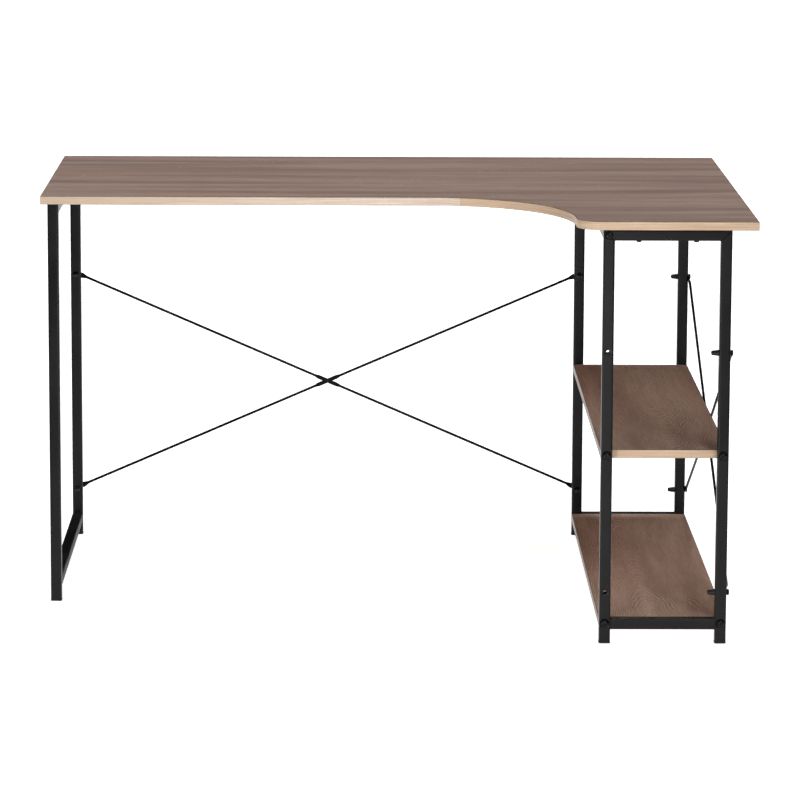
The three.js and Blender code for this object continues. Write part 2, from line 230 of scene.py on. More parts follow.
class Shader:
    """A material's node tree, with a Principled shader at its end."""

    def __init__(self, name, **values):
        self.material = bpy.data.materials.new(name)
        self.material.use_nodes = True
        self.tree = self.material.node_tree
        self.surface = self.tree.nodes["Principled BSDF"]
        for socket, value in values.items():
            self.surface.inputs[socket.replace("_", " ")].default_value = value

    def node(self, kind, inputs=None, **settings):
        made = self.tree.nodes.new(kind)
        for name, value in settings.items():
            setattr(made, name, value)
        for socket, value in (inputs or {}).items():
            if isinstance(value, bpy.types.NodeSocket):
                self.tree.links.new(value, made.inputs[socket])
            else:
                made.inputs[socket].default_value = value
        return made

    def coordinates(self, scale, offset=(0, 0, 0), turn=0, kind="Object"):
        """Texture coordinates turned about Z and then stretched."""
        source = self.node("ShaderNodeTexCoord").outputs[kind]
        turned = self.node(
            "ShaderNodeMapping",
            {"Vector": source, "Rotation": (0, 0, turn), "Location": offset},
        ).outputs["Vector"]
        return self.node(
            "ShaderNodeVectorMath", {0: turned, 1: scale}, operation="MULTIPLY"
        ).outputs["Vector"]

    def noise(self, vector, detail=2.0, roughness=0.5, scale=1.0):
        inputs = {"Vector": vector, "Scale": scale, "Detail": detail, "Roughness": roughness}
        return self.node("ShaderNodeTexNoise", inputs).outputs["Fac"]

    def span(self, value, low, high, to_low=0.0, to_high=1.0):
        """Maps low..high onto to_low..to_high, with smooth ends."""
        inputs = {
            "Value": value, "From Min": low, "From Max": high, "To Min": to_low, "To Max": to_high,
        }
        made = self.node("ShaderNodeMapRange", inputs, interpolation_type="SMOOTHSTEP")
        return made.outputs["Result"]

    def mix(self, factor, first, second):
        """Blends two colours. Sockets 0, 6 and 7 are a colour mix node's factor, A and B."""
        made = self.node("ShaderNodeMix", data_type="RGBA")
        for socket, value in ((0, factor), (6, first), (7, second)):
            if isinstance(value, bpy.types.NodeSocket):
                self.tree.links.new(value, made.inputs[socket])
            else:
                made.inputs[socket].default_value = value
        return made.outputs[2]

    def math(self, operation, first, second=0.0):
        return self.node("ShaderNodeMath", {0: first, 1: second}, operation=operation).outputs[0]

    def bump(self, height, distance, strength=1.0):
        inputs = {"Height": height, "Distance": distance, "Strength": strength}
        return self.node("ShaderNodeBump", inputs).outputs["Normal"]

    def finish(self, **links):
        for socket, value in links.items():
            self.tree.links.new(value, self.surface.inputs[socket.replace("_", " ")])
        return self.material


def rgb(red, green, blue):
    return (red, green, blue, 1.0)


# ---- Materials ----


def laminate(name, turn, offset, tones, arches):
    """Printed oak laminate: soft bands, streaks, arched growth rings, pores and saw flecks.

    The grain runs along X after the turn, and tones are its dark, middle, light and warm
    colours. arches says where the arched rings lie and how strongly they show.
    """
    dark, mid, light, warm = tones
    s = Shader(name, Roughness=0.4, Specular_IOR_Level=0.5)
    wander = s.noise(s.coordinates((1.6, 5.0, 5.0), offset, turn), detail=3)
    lean = s.node("ShaderNodeCombineXYZ", {"Y": s.span(wander, 0, 1, -0.03, 0.03)}).outputs[0]
    place = s.coordinates((1, 1, 1), offset, turn)
    shifted = s.node("ShaderNodeVectorMath", {0: place, 1: lean}, operation="ADD").outputs[0]

    def along_grain(length, width, detail=2, roughness=0.5):
        """Noise drawn out along the grain: so many changes a metre along it and across it."""
        scale = (length, width, width)
        stretched = s.node("ShaderNodeVectorMath", {0: shifted, 1: scale}, operation="MULTIPLY")
        return s.noise(stretched.outputs[0], detail, roughness)

    bands = along_grain(1.4, 21, 3, 0.55)
    streaks = along_grain(3.6, 130, 4, 0.62)
    warmth = along_grain(1.0, 11, 2)
    dashes = along_grain(9.0, 95, 3, 0.6)
    fibres = along_grain(24, 430, 3, 0.65)
    pores = along_grain(70, 1500, 2)
    colour = s.mix(s.span(bands, 0.30, 0.70, 0.12, 0.88), dark, light)
    colour = s.mix(s.span(streaks, 0.28, 0.74, 0.0, 0.6), colour, mid)
    colour = s.mix(s.span(warmth, 0.50, 0.76, 0.0, 0.75), colour, warm)
    colour = s.mix(s.span(dashes, 0.60, 0.76, 0.0, 0.7), colour, dark)

    apart = s.node("ShaderNodeSeparateXYZ", {0: shifted}).outputs
    sideways = s.math("SUBTRACT", apart["Y"], arches["centre"])
    squared = s.math("ADD", s.math("MULTIPLY", sideways, sideways), arches["round"] ** 2)
    rounded = s.math("SQRT", squared)
    rise = s.math("MULTIPLY", rounded, arches["steep"])
    climb = s.math("ADD", s.math("MULTIPLY", apart["X"], arches["sense"]), rise)
    wobble = s.span(along_grain(7, 30, 3, 0.55), 0.2, 0.8, -arches["wobble"], arches["wobble"])
    turns = s.math("MULTIPLY", s.math("ADD", climb, wobble), 2 * math.pi / arches["spacing"])
    rings = s.math("SINE", turns)
    near = s.span(s.math("ABSOLUTE", sideways), arches["width"], 0.35 * arches["width"])
    patchy = s.span(along_grain(3.0, 14, 2), 0.34, 0.56, 0.4, 1.0)
    shown = s.math("MULTIPLY", s.math("MULTIPLY", rings, near), patchy)
    shown = s.math("MULTIPLY", shown, arches["strength"])
    colour = s.mix(s.math("MULTIPLY", s.span(rings, 0.0, 0.9), shown), colour, light)
    colour = s.mix(s.math("MULTIPLY", s.span(rings, -0.1, -0.9), shown), colour, dark)

    colour = s.mix(s.span(fibres, 0.52, 0.34, 0.0, 0.36), colour, dark)
    colour = s.mix(s.span(fibres, 0.56, 0.72, 0.0, 0.42), colour, light)
    pore = s.span(pores, 0.36, 0.27)
    colour = s.mix(s.math("MULTIPLY", pore, 0.6), colour, dark)
    flecks = along_grain(330, 30, 2)
    fleck_place = along_grain(4.0, 9.0, 1)
    fleck = s.math("MULTIPLY", s.span(flecks, 0.58, 0.68), s.span(fleck_place, 0.56, 0.66, 0, 0.55))
    colour = s.mix(fleck, colour, light)

    relief = s.math("ADD", s.math("MULTIPLY", pore, -0.7), s.math("MULTIPLY", fibres, 0.5))
    matte = s.math("ADD", s.span(streaks, 0.3, 0.7, 0.36, 0.44), s.math("MULTIPLY", pore, 0.12))
    return s.finish(Base_Color=colour, Roughness=matte, Normal=s.bump(relief, 0.00006, 0.6))


def edge_strip(name, base, streak, knots, far=None):
    """Printed edge band with fine streaks along it. Its base colour fades to far on the left, as
    painted shade.
    """
    s = Shader(name, Roughness=0.42, Specular_IOR_Level=0.45)
    streaks = s.noise(s.coordinates((9, 900, 1), kind="UV"), detail=3, roughness=0.6)
    slow = s.noise(s.coordinates((3.2, 120, 1), kind="UV"), detail=3)
    fine = s.noise(s.coordinates((70, 4200, 1), kind="UV"), detail=2)
    # Painted shade: the base colour darkens towards the band's left end, where less light falls.
    if far is not None:
        x = s.node("ShaderNodeSeparateXYZ", {0: s.coordinates((1, 1, 1))}).outputs["X"]
        base = s.mix(s.span(x, -0.62, 0.02), far, base)
    colour = s.mix(s.span(streaks, 0.35, 0.68), streak, base)
    colour = s.mix(s.span(slow, 0.52, 0.70, 0.0, knots), colour, streak)
    colour = s.mix(s.span(fine, 0.36, 0.24, 0.0, 0.35), colour, streak)
    relief = s.math("ADD", streaks, s.math("MULTIPLY", fine, 0.5))
    return s.finish(
        Base_Color=colour,
        Roughness=s.span(streaks, 0.3, 0.7, 0.48, 0.38),
        Normal=s.bump(relief, 0.00005, 0.5),
    )


def powder_coat(name, base, roughness, peel, specular):
    """Baked powder paint: fine orange peel, slow changes of gloss and a little settled dust."""
    s = Shader(name, Roughness=roughness, Specular_IOR_Level=specular)
    place = s.coordinates((1, 1, 1))
    cells = s.noise(place, scale=620, detail=2, roughness=0.45)
    grain = s.noise(place, scale=2600, detail=1)
    cloud = s.noise(place, scale=9, detail=3)
    tint = tuple(min(1.0, c * 1.5 + 0.002) for c in base[:3]) + (1.0,)
    colour = s.mix(s.span(cloud, 0.35, 0.7), base, tint)
    up = s.node("ShaderNodeSeparateXYZ", {0: s.node("ShaderNodeNewGeometry").outputs["Normal"]})
    level = s.span(up.outputs["Z"], 0.4, 1.0)
    dust = s.math("MULTIPLY", level, s.span(cloud, 0.3, 0.7, 0.01, 0.05))
    colour = s.mix(dust, colour, rgb(0.30, 0.29, 0.28))
    height = s.math("ADD", cells, s.math("MULTIPLY", grain, 0.25))
    return s.finish(
        Base_Color=colour,
        Roughness=s.span(cloud, 0.3, 0.7, roughness - 0.04, roughness + 0.06),
        Normal=s.bump(height, peel),
    )


def plated_steel(name):
    """Blackened steel for screws and rivets, with fine turning marks."""
    s = Shader(name, Roughness=0.16, Specular_IOR_Level=0.12)
    place = s.coordinates((1, 1, 1))
    spots = s.noise(place, scale=420, detail=3)
    marks = s.noise(place, scale=2400, detail=2)
    colour = s.mix(s.span(spots, 0.4, 0.7), rgb(0.003, 0.003, 0.003), rgb(0.010, 0.009, 0.009))
    return s.finish(
        Base_Color=colour,
        Roughness=s.span(spots, 0.3, 0.7, 0.14, 0.22),
        Normal=s.bump(marks, 0.00002, 0.6),
    )


def moulded_plastic(name, base, low, high, grain):
    """Black plastic with a fine moulded grain and slightly uneven gloss."""
    s = Shader(name, Roughness=high, Specular_IOR_Level=0.2)
    place = s.coordinates((1, 1, 1))
    skin = s.noise(place, scale=1900, detail=2)
    cloud = s.noise(place, scale=60, detail=2)
    lighter = tuple(c * 1.8 for c in base[:3]) + (1.0,)
    colour = s.mix(s.span(cloud, 0.35, 0.7), base, lighter)
    return s.finish(
        Base_Color=colour,
        Roughness=s.span(cloud, 0.3, 0.7, low, high),
        Normal=s.bump(skin, grain),
    )


def board_core(name):
    """Brown particle board, which shows only in the fine joint beside the edge band."""
    s = Shader(name, Roughness=0.8)
    chips = s.noise(s.coordinates((1, 1, 1)), scale=700, detail=3)
    colour = s.mix(s.span(chips, 0.4, 0.65), rgb(0.10, 0.045, 0.025), rgb(0.20, 0.11, 0.06))
    return s.finish(Base_Color=colour)


DESK_TONES = (
    rgb(0.217, 0.143, 0.120),
    rgb(0.347, 0.246, 0.205),
    rgb(0.480, 0.358, 0.300),
    rgb(0.386, 0.249, 0.197),
)
SHELF_TONES = (
    rgb(0.250, 0.150, 0.112),
    rgb(0.465, 0.310, 0.238),
    rgb(0.730, 0.550, 0.445),
    rgb(0.520, 0.315, 0.212),
)
ALONG_X, ALONG_Y = 0, math.pi / 2
DESK_ARCHES = {
    "centre": 0.10, "sense": 1, "steep": 7.0, "round": 0.012,
    "spacing": 0.050, "wobble": 0.014, "width": 0.26, "strength": 0.28,
}
SHELF_ARCHES = {
    "steep": 5.5, "round": 0.012,
    "spacing": 0.030, "wobble": 0.024, "width": 0.17, "strength": 0.85,
}
shelf_x = middle("middle_shelf_panel").x
desk_laminate = laminate("desk laminate", ALONG_X, (0.4, 0.1, 0), DESK_TONES, DESK_ARCHES)
shelf_laminates = {
    "middle": laminate(
        "middle shelf laminate", ALONG_Y, (0.3, 0.5 - shelf_x, 0), SHELF_TONES,
        {**SHELF_ARCHES, "centre": 0.514, "sense": 1},
    ),
    "bottom": laminate(
        "bottom shelf laminate", ALONG_Y, (2.1, 1.5 - shelf_x, 0), SHELF_TONES,
        {**SHELF_ARCHES, "centre": 1.490, "sense": -1},
    ),
}
core = board_core("particle board")
# The light band's far colour is painted shade: the band darkens towards its left end.
light_strip = edge_strip(
    "light edge band", rgb(0.70, 0.60, 0.515), rgb(0.51, 0.38, 0.28),
    knots=0.5, far=rgb(0.61, 0.47, 0.345),
)
tan_strip = edge_strip("tan edge band", rgb(0.64, 0.48, 0.345), rgb(0.45, 0.30, 0.19), knots=0.7)
# The shelves' band is the tan band made a little darker: painted shade under the desktop.
shaded_shelf_strip = edge_strip(
    "shaded shelf edge band", rgb(0.54, 0.40, 0.285), rgb(0.38, 0.255, 0.16), knots=0.7
)
strip_joint = edge_strip(
    "edge band joint", rgb(0.30, 0.19, 0.11), rgb(0.20, 0.12, 0.07), knots=0.3
)
# Painted shade: a darker copy of the band for the shelves' long sides, which lie in shade.
shaded_side_strip = edge_strip(
    "shaded side edge band", rgb(0.235, 0.175, 0.145), rgb(0.165, 0.115, 0.09), knots=0.5
)
strip_rim = edge_strip("edge band rim", rgb(0.20, 0.12, 0.08), rgb(0.13, 0.07, 0.04), knots=0.3)
frame_paint = powder_coat(
    "black powder coat", rgb(0.0030, 0.0030, 0.0030), roughness=0.31, peel=0.00003, specular=0.165
)
matt_paint = powder_coat(
    "matt black powder coat", rgb(0.0040, 0.0040, 0.0040),
    roughness=0.45, peel=0.00003, specular=0.03,
)
rod_paint = powder_coat(
    "black rod paint", rgb(0.003, 0.003, 0.003), roughness=0.32, peel=0.00002, specular=0.04
)
steel = plated_steel("black fastener")
nut_plastic = moulded_plastic(
    "black cap nut", rgb(0.007, 0.007, 0.008), low=0.16, high=0.26, grain=0.000005
)
foot_plastic = moulded_plastic(
    "black foot plastic", rgb(0.012, 0.012, 0.012), low=0.5, high=0.65, grain=0.00004
)


# ---- Boards and edge bands ----

desk_low, desk_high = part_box("desktop_edge_band")


def desk_outline(inset):
    """The desktop's outline moved inwards, from the rear left corner by way of the front."""
    radius = BOARD_CORNER - inset
    left, right = desk_low.x + inset, desk_high.x - inset
    front, rear = desk_low.y + inset, desk_high.y - inset
    main_front = desk_high.y - MAIN_DEPTH + inset
    wing_left = desk_high.x - WING_WIDTH
    curve_x = wing_left - CURVE_ACROSS
    curve_y = desk_high.y - MAIN_DEPTH - CURVE_ALONG
    points = arc((left + radius, rear - radius), (radius, radius), 90, 180, BOARD_CORNER_STEPS)
    front_left = (left + radius, main_front + radius)
    points += arc(front_left, (radius, radius), 180, 270, BOARD_CORNER_STEPS)
    centre, radii = (curve_x, curve_y), (CURVE_ACROSS + inset, CURVE_ALONG + inset)
    points += arc(centre, radii, 90, 90 - STRIP_JOINT, JOINT_STEPS)
    points += arc(centre, radii, 90 - STRIP_JOINT - JOINT_ANGLE, 0, CURVE_STEPS - JOINT_STEPS)
    corner = WING_CORNER - inset
    centre = (wing_left + WING_CORNER, desk_low.y + WING_CORNER)
    points += arc(centre, (corner, corner), 180, 270, WING_CORNER_STEPS)
    wing_right = (right - radius, front + radius)
    points += arc(wing_right, (radius, radius), 270, 360, BOARD_CORNER_STEPS)
    rear_right = (right - radius, rear - radius)
    points += arc(rear_right, (radius, radius), 0, 90, BOARD_CORNER_STEPS)
    return points


def box_outline(node):
    """A function that gives the outline of a rectangular board, moved inwards."""
    low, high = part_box(node)

    def outline(inset):
        radius = BOARD_CORNER - inset
        points = []
        corners = [
            (low.x, high.y, 90), (low.x, low.y, 180), (high.x, low.y, 270), (high.x, high.y, 0),
        ]
        for x, y, start in corners:
            cx = x + (inset + radius) * (1 if x == low.x else -1)
            cy = y + (inset + radius) * (1 if y == low.y else -1)
            points += arc((cx, cy), (radius, radius), start, start + 90, BOARD_CORNER_STEPS)
        return points

    return outline


# The two stretches of a shelf's outline that run along Y, after its first and third corners
SHELF_LONG_EDGES = (BOARD_CORNER_STEPS, 3 * BOARD_CORNER_STEPS + 2)


def at_height(points, z):
    return [Vector((x, y, z)) for x, y in points]


def add_board(node, outline, material):
    """The laminated board inside its edge band. Its upper and lower edges have a fine chamfer."""
    low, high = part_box(node)
    bm = bmesh.new()
    edge, inner = outline(BAND), outline(BAND + BOARD_CHAMFER)
    rings = [
        at_height(inner, low.z),
        at_height(edge, low.z + BOARD_CHAMFER),
        at_height(edge, high.z - BOARD_CHAMFER),
        at_height(inner, high.z),
    ]
    grid = loft(bm, rings)
    for row in grid:
        for face in row:
            face.material_index = 1
    add_piece(f"{node}.look", to_mesh(bm, node), [material, core], [node])


def band_profile(low_z, high_z):
    """(inset, height) points round the edge band's section, from its lower inner corner."""
    r = BAND_EDGE
    points = [(BAND, low_z + BOARD_CHAMFER)]
    points += [(r - x, low_z + r + y) for x, y in arc((0, 0), (r, r), -90, 0, EDGE_STEPS)]
    points += [(r - x, high_z - r + y) for x, y in arc((0, 0), (r, r), 0, 90, EDGE_STEPS)]
    points.append((BAND, high_z - BOARD_CHAMFER))
    return points


def add_band(node, outline, strip_at):
    """The edge band as a ring swept round the board. UV runs along the band and up it, in metres.

    strip_at gives the material of each stretch of the outline.
    """
    low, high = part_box(node)
    profile = band_profile(low.z, high.z)
    bm = bmesh.new()
    uv = bm.loops.layers.uv.new("UVMap")
    grid = loft(bm, [at_height(outline(inset), z) for inset, z in profile], closed=True)
    edge = at_height(outline(0), 0)
    along = [0.0]
    for i, point in enumerate(edge):
        along.append(along[-1] + (edge[(i + 1) % len(edge)] - point).length)
    up = [0.0]
    for near, far in zip(profile, profile[1:] + profile[:1]):
        up.append(up[-1] + math.dist(near, far))
    for j, row in enumerate(grid):
        for i, face in enumerate(row):
            corners = [(i, j), (i + 1, j), (i + 1, j + 1), (i, j + 1)]
            for corner, (a, b) in zip(face.loops, corners):
                corner[uv].uv = (along[a], up[b])
            on_side = j == EDGE_STEPS + 1
            face.material_index = strip_at(i) if on_side else RIM
    materials = [light_strip, tan_strip, strip_joint, strip_rim, shaded_side_strip, shaded_shelf_strip]
    add_piece(f"{node}.look", to_mesh(bm, node), materials, [node])


def add_boards():
    add_board("desktop_panel", desk_outline, desk_laminate)
    # The short stretch at the strip joint comes after two corners and the start of the curve.
    joint = 2 * (BOARD_CORNER_STEPS + 1) + JOINT_STEPS

    def desk_strip(i):
        if i == joint:
            return JOINT
        return TAN if i > joint else LIGHT

    add_band("desktop_edge_band", desk_outline, desk_strip)

    def shelf_strip(i):
        # The long sides get the darker band as painted shade.
        return SHADED_SIDE if i in SHELF_LONG_EDGES else SHELF

    for level in ("middle", "bottom"):
        outline = box_outline(f"{level}_shelf_edge_band")
        add_board(f"{level}_shelf_panel", outline, shelf_laminates[level])
        add_band(f"{level}_shelf_edge_band", outline, shelf_strip)


# ---- Frame ----

SQUARE_END = [(0.0, 0.0002), (0.0002, 0.0), (TUBE_WALL, 0.0)]
MITRED_END = [(0.0, 0.0009), (0.0008, 0.0001), (0.0008, 0.0), (TUBE_WALL, 0.0)]


def tube_mesh(node, low_end, high_end):
    """A square tube along its box's longest side, hollow and open.

    An end is (its height on the axis, how it leans, its profile): the lean is a vector that
    tells how far the end moves along the axis for each metre across the tube.
    """
    low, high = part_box(node)
    size = high - low
    axis = max(range(3), key=lambda i: size[i])
    first, second = (axis + 1) % 3, (axis + 2) % 3
    centre = middle(node)

    def ring(end, side, inset, back):
        position, lean, _ = end
        points = []
        for a, b in rounded_square(TUBE / 2 - inset, TUBE_CORNER - inset):
            offset = Vector((0, 0, 0))
            offset[first], offset[second] = a, b
            point = centre + offset
            point[axis] = position + offset.dot(lean) - side * back
            points.append(point)
        return points

    rings = [ring(high_end, 1, inset, back) for inset, back in high_end[2]]
    rings += [ring(low_end, -1, inset, back) for inset, back in reversed(low_end[2])]
    bm = bmesh.new()
    loft(bm, rings, closed=True)
    return to_mesh(bm, node)


def hole_cutter(centre, axis, radius, chamfer):
    """A round cutter through a tube, with a flare where it leaves each outer face."""
    half = TUBE / 2
    profile = [
        (radius + 2 * chamfer, -half - chamfer),
        (radius, -half + chamfer),
        (radius, half - chamfer),
        (radius + 2 * chamfer, half + chamfer),
    ]
    bm = bmesh.new()
    lathe(bm, centre, axis, profile, sides=32)
    return to_mesh(bm, "hole cutter")


def dimple_cutter(face, axis, dimple):
    """A shallow dish round a hole, as the punch leaves it. The axis points out of the face."""
    inner, outer, depth = dimple["inner"], dimple["outer"], dimple["depth"]
    profile = [(0.5 * inner, -depth)]
    for i in range(DIMPLE_STEPS + 1):
        share = i / DIMPLE_STEPS
        height = 0.00002 - depth * (1 + math.cos(math.pi * share)) / 2
        profile.append((inner + (outer - inner) * share, height))
    profile.append((outer, 0.002))
    bm = bmesh.new()
    lathe(bm, face, axis, profile)
    return to_mesh(bm, "dimple cutter")


def add_leg(node, top_rail, inward, holes=(), dimples=()):
    """A leg, cut for its holes (axis, height, radius) and dimples (outward axis, height, dish)."""
    low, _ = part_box(node)
    bottom = (low.z, Vector((0, 0, 0)), SQUARE_END)
    top = (middle(top_rail).z, -inward, MITRED_END)
    mesh = tube_mesh(node, bottom, top)
    at = middle(node)
    cutters = []
    for axis, z, radius in holes:
        cutters.append(hole_cutter(Vector((at.x, at.y, z)), axis, radius, 0.0004))
    for axis, z, dimple in dimples:
        cutters.append(dimple_cutter(Vector((at.x, at.y, z)) + axis * TUBE / 2, axis, dimple))
    if cutters:
        mesh = drilled(mesh, cutters)
    add_piece(f"{node}.look", mesh, [frame_paint], [node])


def add_mitred_rail(node, legs, axis):
    """A top rail whose mitred ends meet two legs on their centre lines."""
    start, end = (middle(leg).dot(axis) for leg in legs)
    mesh = tube_mesh(node, (start, -Z, MITRED_END), (end, Z, MITRED_END))
    add_piece(f"{node}.look", mesh, [frame_paint], [node])


def add_plain_rail(node, axis, paint):
    low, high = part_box(node)
    level = Vector((0, 0, 0))
    mesh = tube_mesh(node, (low.dot(axis), level, SQUARE_END), (high.dot(axis), level, SQUARE_END))
    add_piece(f"{node}.look", mesh, [paint], [node])


def resampled(points, spacing):
    """Points at even spacing along a closed line, each with the line's direction there."""
    count = len(points)
    lengths = [(points[(i + 1) % count] - points[i]).length for i in range(count)]
    total = sum(lengths)
    steps = max(8, round(total / spacing))
    result, i, walked = [], 0, 0.0
    for k in range(steps):
        target = total * k / steps
        while walked + lengths[i] < target:
            walked += lengths[i]
            i += 1
        share = (target - walked) / lengths[i]
        direction = (points[(i + 1) % count] - points[i]).normalized()
        result.append((points[i].lerp(points[(i + 1) % count], share), direction))
    return result


BEAD = {"radius": 0.00155, "inset": 0.00125, "ripple": 0.0017, "depth": 0.09, "spacing": 0.0004}
BEAD_SIDES = 12


def bead_ring(point, direction, side, travelled):
    """One ring of a weld bead: the bead swells a little with each drop of the weld."""
    other = direction.cross(side)
    wave = abs(math.sin(math.pi * travelled / BEAD["ripple"]))
    radius = BEAD["radius"] * (1 - BEAD["depth"] * (1 - wave))
    ring = []
    for k in range(BEAD_SIDES):
        angle = 2 * math.pi * k / BEAD_SIDES
        ring.append(point + (side * math.cos(angle) + other * math.sin(angle)) * radius)
    return ring


def add_rail_welds(rail, axis):
    """A bead of weld all round each end of a bottom rail, where it meets its leg."""
    low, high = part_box(rail)
    centre = middle(rail)
    u, v = across(axis)
    half = TUBE / 2 - BEAD["inset"]
    outline = rounded_square(half, TUBE_CORNER - BEAD["inset"])
    for end, position in (("start", low.dot(axis)), ("end", high.dot(axis))):
        middle_point = centre + axis * (position - centre.dot(axis))
        path = [middle_point + u * a + v * b for a, b in outline]
        bm = bmesh.new()
        rings = []
        for i, (point, direction) in enumerate(resampled(path, BEAD["spacing"])):
            rings.append(bead_ring(point, direction, axis, i * BEAD["spacing"]))
        loft(bm, rings, closed=True)
        mesh = to_mesh(bm, "weld")
        add_piece(f"{rail}.weld_{end}", mesh, [frame_paint])


def add_corner_weld(leg, rail, inward):
    """A short bead in the inner corner under a top rail's mitre."""
    along = Z.cross(inward)
    corner = middle(leg) + inward * (TUBE / 2 - 0.0002)
    corner.z = middle(rail).z - TUBE / 2 + 0.0002
    reach = TUBE / 2 - TUBE_CORNER
    steps = round(2 * reach / BEAD["spacing"])
    bm = bmesh.new()
    rings = []
    for i in range(steps + 1):
        travelled = 2 * reach * i / steps
        fade = math.sin(math.pi * min(1, max(0.02, i / steps))) ** 0.3
        ring = bead_ring(corner + along * (travelled - reach), along, inward, travelled)
        centre = corner + along * (travelled - reach)
        rings.append([centre + (point - centre) * fade * 0.85 for point in ring])
    loft(bm, rings)
    add_piece(f"{leg}.weld", to_mesh(bm, "weld"), [frame_paint])


def add_foot(node):
    """A plastic tube plug: a rounded flange with a recess below, and the plug above it."""
    low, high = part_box(node)
    centre = middle(node)
    flange = (high.x - low.x) / 2
    plug = TUBE / 2 - TUBE_WALL - 0.0003
    levels = [
        (plug - 0.0022, 0.0008),
        (plug - 0.0018, 0.0008),
        (plug - 0.0012, 0.0001),
        (flange - 0.0008, 0.0),
        (flange - 0.0002, 0.0003),
        (flange, 0.0009),
        (flange, FOOT_HEIGHT - 0.0007),
        (flange - 0.0002, FOOT_HEIGHT - 0.0002),
        (flange - 0.0007, FOOT_HEIGHT),
        (plug, FOOT_HEIGHT),
        (plug, 0.8 * (high.z - low.z)),
        (plug - 0.0012, high.z - low.z),
    ]
    bm = bmesh.new()
    rings = []
    for half, z in levels:
        corner = max(0.0006, TUBE_CORNER + 0.0004 - (flange - half))
        ring = rounded_square(half, corner)
        rings.append([Vector((centre.x + x, centre.y + y, low.z + z)) for x, y in ring])
    loft(bm, rings)
    add_piece(f"{node}.look", to_mesh(bm, node), [foot_plastic], [node], sharp=50)


def heights(*nodes):
    return [middle(node).z for node in nodes]


def add_frame():
    brace_rear = heights("rear_brace_bolt_left_top", "rear_brace_bolt_left_bottom")
    brace_side = heights("side_brace_bolt_rear_top", "side_brace_bolt_rear_bottom")
    shelves = heights("middle_shelf_screw_front_left", "bottom_shelf_screw_front_left")
    corner = heights("corner_bolt_front")
    shelf_holes = [(Y, z, BOLT_HOLE) for z in shelves]
    corner_holes = [(Y, z, BOLT_HOLE) for z in corner]
    rear_brace_holes = [(Y, z, BOLT_HOLE) for z in brace_rear]
    side_brace_holes = [(X, z, BOLT_HOLE) for z in brace_side]

    add_leg("left_front_leg", "left_top_rail", Y)
    add_leg("left_rear_leg", "left_top_rail", -Y, rear_brace_holes)
    add_mitred_rail("left_top_rail", ("left_front_leg", "left_rear_leg"), Y)
    add_plain_rail("left_bottom_rail", Y, matt_paint)
    add_rail_welds("left_bottom_rail", Y)
    add_corner_weld("left_front_leg", "left_top_rail", Y)
    add_corner_weld("left_rear_leg", "left_top_rail", -Y)

    for end, out in (("front", -Y), ("rear", Y)):
        rail = f"shelf_{end}_top_rail"
        left, right = f"shelf_{end}_left_leg", f"shelf_{end}_right_leg"
        shelf_dimples = [(out, z, HEAD_DIMPLE) for z in shelves]
        left_dimples = shelf_dimples + [(out, z, HEAD_DIMPLE) for z in corner]
        left_holes = shelf_holes + corner_holes
        if end == "front":
            left_holes = left_holes + [(Y, z, OPEN_HOLE) for z in brace_rear]
            left_dimples += [(out, z, OPEN_DIMPLE) for z in brace_rear]
        else:
            left_holes = left_holes + rear_brace_holes
        add_leg(left, rail, X, left_holes, left_dimples)
        add_leg(right, rail, -X, shelf_holes + side_brace_holes, shelf_dimples)
        add_mitred_rail(rail, (left, right), X)
        add_plain_rail(f"shelf_{end}_bottom_rail", X, frame_paint)
        add_rail_welds(f"shelf_{end}_bottom_rail", X)
        add_corner_weld(left, rail, X)
        add_corner_weld(right, rail, -X)
    add_plain_rail("shelf_left_top_rail", Y, frame_paint)
    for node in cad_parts:
        if node.startswith("foot_"):
            add_foot(node)


# ---- Fasteners ----


def button_head(head, length):
    """A button-head bolt's profile from its tip to the bottom of its hexagon socket."""
    radius, height, sunk = head["radius"], head["height"], head.get("sunk", 0)
    top = 0.5 * radius
    profile = [
        (SHANK - 0.0006, -length),
        (SHANK, -length + 0.0008),
        (SHANK, -sunk),
        (radius - 0.0003, -sunk),
        (radius, 0.0003 - sunk),
    ]
    dome = arc((top, 0.22 * height), (radius - top, 0.78 * height), 0, 90, 10)
    profile += [(max(x, top), y) for x, y in dome]
    profile += [
        (head["key"] * 1.1, height),
        (head["key"] * 1.02, height - 0.0002, hexagon),
        (head["key"], height - 0.0004, hexagon),
        (head["key"], height - head["key_depth"], hexagon),
        (0.4 * head["key"], height - head["key_depth"] - 0.0004),
    ]
    return profile


def pan_head(length):
    """A pan-head screw's profile from its point to the bottom of its cross recess."""
    radius, height = PAN_HEAD["radius"], PAN_HEAD["height"]
    key = 0.55 * radius
    profile = [(0.0002, -length), (PAN_SHANK, -length + 0.005), (PAN_SHANK, 0), (radius, 0)]
    profile += arc((0.6 * radius, 0.4 * height), (0.4 * radius, 0.6 * height), 0, 90, 8)
    profile += [
        (key, height, cross_recess),
        (0.8 * key, height - 0.0008, cross_recess),
        (0.3 * key, height - 0.0018, cross_recess),
    ]
    return profile


def add_turned(name, origin, axis, profile, material, nodes=()):
    bm = bmesh.new()
    lathe(bm, origin, axis, profile)
    add_piece(name, to_mesh(bm, name), [material], nodes)


def reach_of(node, axis):
    """How far a node's box reaches along an axis, and how long it is that way."""
    low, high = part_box(node)
    ends = (low.dot(axis), high.dot(axis))
    return max(ends), max(ends) - min(ends)


def add_bolt(node, axis, head):
    """A button-head bolt whose head faces along the axis and sits on what it holds."""
    outer, length = reach_of(node, axis)
    centre = middle(node)
    seat = centre + axis * (outer - head["height"] - centre.dot(axis))
    profile = button_head(head, length - head["height"])
    add_turned(f"{node}.look", seat, axis, profile, steel, [node])


